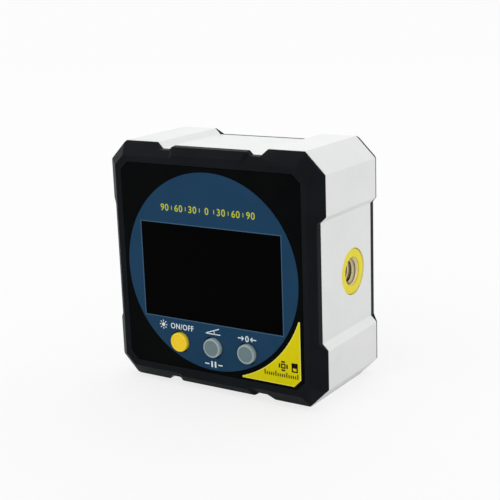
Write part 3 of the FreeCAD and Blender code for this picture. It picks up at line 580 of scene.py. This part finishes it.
def stroke(path, width, closed=False):
    """Points and faces of one line of ink: a rectangle carried along a path of (x, z). Each edge lies
    half a width to one side of the path, along the mitre of the two runs that meet there."""
    path = np.asarray(path, float)
    ahead = np.roll(path, -1, 0) - path
    behind = path - np.roll(path, 1, 0)
    if not closed:
        ahead[-1] = behind[-1]
        behind[0] = ahead[0]
    ahead /= np.linalg.norm(ahead, axis=1, keepdims=True)
    behind /= np.linalg.norm(behind, axis=1, keepdims=True)
    mitre = ahead + behind
    mitre /= np.linalg.norm(mitre, axis=1, keepdims=True)
    reach = width / 2 / np.sum(mitre * ahead, axis=1, keepdims=True)
    side = np.stack([-mitre[:, 1], mitre[:, 0]], 1) * reach
    edges = np.stack([path + side, path - side, path - side, path + side], 1)
    points = laid(edges, [1, 1, 0, 0])
    faces = grid_faces(len(path), 4, wrap_rows=closed)
    if not closed:
        last = 4 * (len(path) - 1)
        faces = np.concatenate([faces, [[0, 1, 2, 3], [last + 3, last + 2, last + 1, last]]])
    return points.reshape(-1, 3), faces


def ink(name, strokes, finish):
    """One printed mark made of several strokes."""
    points = []
    faces = []
    count = 0
    for some_points, some_faces in strokes:
        points.append(some_points)
        faces.append(some_faces + count)
        count += len(some_points)
    new_piece(name, np.concatenate(points), np.concatenate(faces), "case", finish)


def arc(x, z, radius, start=0.0, end=360.0, steps=33):
    """Places along an arc about (x, z), by angles in degrees from +X."""
    angle = np.radians(np.linspace(start, end, steps))
    return np.stack([x + radius * np.cos(angle), z + radius * np.sin(angle)], 1)


def ring(x, z, radius, width):
    """A closed round stroke."""
    return stroke(arc(x, z, radius)[:-1], width, closed=True)


def lettering(name, text, width, height, place, finish):
    """Plain letters or numerals from the built-in font, a little bolder and wider set than it has them,
    scaled to a box of this width and height about a place (x, z), and given the ink's thickness."""
    curve = bpy.data.curves.new("outline", "FONT")
    curve.body = text
    curve.offset = 0.013
    curve.space_character = 1.12
    curve.extrude = 0.5
    curve.resolution_u = 6
    source = bpy.data.objects.new("outline", curve)
    flat = bpy.data.meshes.new_from_object(source)
    corners = np.empty(3 * len(flat.vertices))
    flat.vertices.foreach_get("co", corners)
    corners = corners.reshape(-1, 3)
    low = corners.min(0)
    high = corners.max(0)
    scale = np.array([width, height]) / (high - low)[:2]
    spots = (corners[:, :2] - (low + high)[:2] / 2) * scale + place
    lift = corners[:, 2] + curve.extrude
    faces = [tuple(face.vertices) for face in flat.polygons]
    new_piece(name, laid(spots, lift), faces, "case", finish)
    bpy.data.objects.remove(source)
    bpy.data.curves.remove(curve)
    bpy.data.meshes.remove(flat)


def degree_scale():
    """A plain scale of degrees across the top of the film: seven numerals with a tick between each."""
    numerals = ("90", "60", "30", "0", "30", "60", "90")
    pitch = 4.05 * MM
    digit = 1.25 * MM
    space = 0.2 * MM
    height = 1.7 * MM
    half_tick = 0.5 * MM
    line = 0.18 * MM
    middle_x = -0.2 * MM
    up = 15.0 * MM
    z = DIAL_MIDDLE + up
    ticks = []
    for number, text in enumerate(numerals):
        x = middle_x + (number - len(numerals) // 2) * pitch
        lettering(f"scale_numeral_{number}", text, len(text) * digit - space, height, (x, z), "yellow_ink")
        if number:
            spot = x - pitch / 2
            ticks.append(stroke([(spot, z - half_tick), (spot, z + half_tick)], line))
    ink("scale_ticks", ticks, "yellow_ink")


def backlight_mark(x, z):
    """A small sun: a round dot with eight rays."""
    dot = 0.24 * MM
    dot_line = 0.46 * MM
    ray_start = 0.72 * MM
    ray_end = 1.15 * MM
    ray_line = 0.2 * MM
    angle = np.radians(np.arange(0, 360, 45))
    ways = np.stack([np.cos(angle), np.sin(angle)], 1)
    rays = [stroke([way * ray_start + (x, z), way * ray_end + (x, z)], ray_line) for way in ways]
    ink("backlight_mark", rays + [ring(x, z, dot, dot_line)], "pale_ink")


def slope_mark(x, z):
    """A slope over its base, with an arc at the angle between them."""
    line = 0.22 * MM
    arc_line = 0.2 * MM
    arc_radius = 2.6 * MM
    arc_turn = 20.0
    foot = z - 0.62 * MM
    corner = (x - 2.1 * MM, foot)
    base_end = (x + 2.2 * MM, foot)
    slope_end = (x + 1.9 * MM, z + 0.85 * MM)
    turn = arc(*corner, arc_radius, 0.0, arc_turn, 9)
    ink("slope_mark", [stroke([corner, base_end], line), stroke([corner, slope_end], line),
                       stroke(turn, arc_line)], "pale_ink")


def pause_mark(x, z):
    """Two upright bars with a dash on each side."""
    bar_place = 0.5 * MM
    bar_half = 0.75 * MM
    bar_line = 0.45 * MM
    dash_start = 1.3 * MM
    dash_end = 2.55 * MM
    dash_line = 0.27 * MM
    strokes = []
    for way in (-1, 1):
        bar = x + way * bar_place
        strokes.append(stroke([(bar, z - bar_half), (bar, z + bar_half)], bar_line))
        strokes.append(stroke([(x + way * dash_start, z), (x + way * dash_end, z)], dash_line))
    ink("pause_mark", strokes, "pale_ink")


def nought_mark(x, z):
    """A nought between two arrows that point at it."""
    nought_width = 1.0 * MM
    nought_height = 1.5 * MM
    arrow_tip = 1.0 * MM
    wing = 0.5 * MM
    shaft_start = 1.25 * MM
    shaft_end = 2.55 * MM
    line = 0.24 * MM
    strokes = []
    for way in (-1, 1):
        tip = x + way * arrow_tip
        strokes.append(stroke([(tip + way * wing, z + wing), (tip, z), (tip + way * wing, z - wing)], line))
        strokes.append(stroke([(x + way * shaft_start, z), (x + way * shaft_end, z)], line))
    ink("nought_arrows", strokes, "pale_ink")
    lettering("nought", "0", nought_width, nought_height, (x, z), "pale_ink")


def four_sides_mark(x, z):
    """Strokes of a square with a bar along each of its four sides."""
    half_square = 0.45 * MM
    square_line = 0.3 * MM
    bar_place = 1.02 * MM
    bar_half = 0.5 * MM
    bar_line = 0.38 * MM
    corners = np.array([(-1, -1), (1, -1), (1, 1), (-1, 1)]) * half_square + (x, z)
    strokes = [stroke(corners, square_line, closed=True)]
    for way in np.array([(1.0, 0.0), (0.0, 1.0), (-1.0, 0.0), (0.0, -1.0)]):
        across = way[::-1] * bar_half
        middle = way * bar_place + (x, z)
        strokes.append(stroke([middle - across, middle + across], bar_line))
    return strokes


def half_full_mark(x, z):
    """Strokes of an upright bar whose upper half is filled."""
    half_width = 0.65 * MM
    half_height = 0.95 * MM
    line = 0.32 * MM
    fill_foot = 0.1 * MM
    corners = np.array([(-1, -1), (1, -1), (1, 1), (-1, 1)]) * (half_width, half_height) + (x, z)
    filled = stroke([(x, z - fill_foot), (x, z + half_height)], 2 * half_width)
    return [stroke(corners, line, closed=True), filled]


def tick_row(x, z):
    """Strokes of sixteen ticks on one line, of which each fifth is taller, from the first at x."""
    pitch = 0.59 * MM
    short = 0.75 * MM
    tall = 1.2 * MM
    line = 0.27 * MM
    strokes = []
    for number in range(16):
        spot = x + number * pitch
        height = tall if number % 5 == 0 else short
        strokes.append(stroke([(spot, z), (spot, z + height)], line))
    return strokes


def label_marks():
    """Generic marks on the label: a bar along each side of a square, a bar that is half filled, and a
    row of ticks under them. The square is placed from the label's corner, and the rest from the square."""
    from_side = 4.67 * MM
    from_foot = 4.6 * MM
    bar_apart = 3.05 * MM
    ticks_left = 5.0 * MM
    ticks_below = 2.7 * MM
    x = label_high.x - from_side
    z = label_low.z + from_foot
    strokes = four_sides_mark(x, z) + half_full_mark(x + bar_apart, z)
    strokes += tick_row(x - ticks_left, z - ticks_below)
    ink("label_marks", strokes, "black_ink")


def softened_edges(name, width):
    """Round the sharp moulded or cut edges of a solid. Its triangles are welded and its flat faces made
    whole first. The width isn't held back by the shortest edge, so it is chosen to suit that edge."""
    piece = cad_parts[name]
    weld = piece.modifiers.new("weld", "WELD")
    weld.merge_threshold = WELD
    flat = piece.modifiers.new("flat", "DECIMATE")
    flat.decimate_type = "DISSOLVE"
    flat.angle_limit = math.radians(FLAT_TURN)
    bevel = piece.modifiers.new("edge", "BEVEL")
    bevel.width = width
    bevel.segments = 2
    bevel.use_clamp_overlap = False
    bevel.limit_method = "ANGLE"
    bevel.angle_limit = math.radians(SHARP_TURN)


def background_rays(tree):
    """1 for the rays that see the background directly, in metal or through glass, and 0 for the rest."""
    rays = add(tree, "LightPath").outputs
    direct = rays["Is Camera Ray"]
    gloss = rays["Is Glossy Ray"]
    through = rays["Is Transmission Ray"]
    seen = add(tree, "Math", {0: direct, 1: gloss}, operation="MAXIMUM").outputs[0]
    return add(tree, "Math", {0: seen, 1: through}, operation="MAXIMUM").outputs[0]


def lights():
    """Plain soft studio light: an even white surround, and one large soft lamp above and behind the
    object. Camera, glossy and transmitted rays see a pure white background."""
    world = bpy.data.worlds.new("studio")
    bpy.context.scene.world = world
    world.use_nodes = True
    tree = world.node_tree
    tree.nodes.clear()
    seen = background_rays(tree)
    strength = add(tree, "MapRange", {"Value": seen, "To Min": SURROUND, "To Max": 1.0}).outputs["Result"]
    back = add(tree, "Background", {"Color": linear("#FFFFFF"), "Strength": strength}).outputs[0]
    add(tree, "OutputWorld", {"Surface": back})
    lamp = bpy.data.lights.new("soft_key", "AREA")
    lamp.shape = "DISK"
    lamp.size = LAMP_WIDTH
    lamp.energy = LAMP_WATTS
    key = bpy.data.objects.new("soft_key", lamp)
    key.location = LAMP_PLACE
    direction = Vector((0, 0, MIDDLE)) - key.location
    key.rotation_euler = direction.to_track_quat("-Z", "Y").to_euler()
    bpy.context.scene.collection.objects.link(key)


def floor():
    """A white matte floor that keeps the object's soft shadow, lifted most of the way to the white
    background where the camera sees it, and a little in metal or through glass."""
    made = bpy.data.materials.new("white_floor")
    made.use_nodes = True
    tree = made.node_tree
    tree.nodes.clear()
    matte = add(tree, "BsdfDiffuse", {"Color": linear("#F8F8F8")}).outputs[0]
    white = add(tree, "Emission", {"Color": linear("#FFFFFF")}).outputs[0]
    seen = background_rays(tree)
    in_gloss = add(tree, "Math", {0: seen, 1: FLOOR_IN_GLOSS}, operation="MULTIPLY").outputs[0]
    direct = add(tree, "LightPath").outputs["Is Camera Ray"]
    to_camera = add(tree, "Math", {0: direct, 1: FLOOR_TO_CAMERA}, operation="MULTIPLY").outputs[0]
    share = add(tree, "Math", {0: in_gloss, 1: to_camera}, operation="MAXIMUM").outputs[0]
    mixed = add(tree, "MixShader", {0: share, 1: matte, 2: white}).outputs[0]
    add(tree, "OutputMaterial", {"Surface": mixed})
    corners = np.array([(-1, -1), (1, -1), (1, 1), (-1, 1)]) * FLOOR_HALF
    mesh = bpy.data.meshes.new("floor")
    mesh.from_pydata([(x, y, FLOOR_Z) for x, y in corners], [], [(0, 1, 2, 3)])
    mesh.materials.append(made)
    piece = bpy.data.objects.new("floor", mesh)
    bpy.context.scene.collection.objects.link(piece)


def camera():
    """The camera stands where a fit to the photograph's corners puts it."""
    azimuth, elevation, roll = (math.radians(value) for value in (AZIMUTH, ELEVATION, ROLL))
    level = math.cos(elevation)
    back = Vector((math.sin(azimuth) * level, -math.cos(azimuth) * level, math.sin(elevation)))
    right = Vector((0, 0, 1)).cross(back).normalized()
    up = back.cross(right)
    rolled_right = math.cos(roll) * right + math.sin(roll) * up
    rolled_up = math.cos(roll) * up - math.sin(roll) * right
    data = bpy.data.cameras.new("camera")
    data.sensor_width = SENSOR_WIDTH
    data.lens = FOCAL_PIXELS / FRAME_PIXELS * SENSOR_WIDTH
    data.clip_start = NEAREST
    made = bpy.data.objects.new("camera", data)
    turned = Matrix((rolled_right, rolled_up, back)).transposed().to_4x4()
    made.matrix_world = Matrix.Translation(AIM + back * DISTANCE) @ turned
    bpy.context.scene.collection.objects.link(made)
    bpy.context.scene.camera = made


bpy.context.scene.view_settings.view_transform = "Standard"
dress_nodes()
keycap("power_keycap", "power_button", "power_key", "yellow_key")
keycap("hold_keycap", "hold_button", "hold_key", "grey_key")
keycap("zero_keycap", "zero_button", "zero_key", "grey_key")
tapped_insert()
moulded_bushing()
cell_pair()
degree_scale()
backlight_mark(*beside("power_button", -4.85 * MM, 3.8 * MM))
lettering("on_off", "ON/OFF", 6.75 * MM, 1.4 * MM, beside("power_button", 0.75 * MM, 3.85 * MM), "pale_ink")
slope_mark(*beside("hold_button", 0.05 * MM, 4.05 * MM))
pause_mark(*beside("hold_button", 0.0, -4.25 * MM))
nought_mark(*beside("zero_button", 0.1 * MM, 3.65 * MM))
label_marks()
for solid, rounding in EDGE_ROUNDING.items():
    softened_edges(solid, rounding)
lights()
floor()
camera()
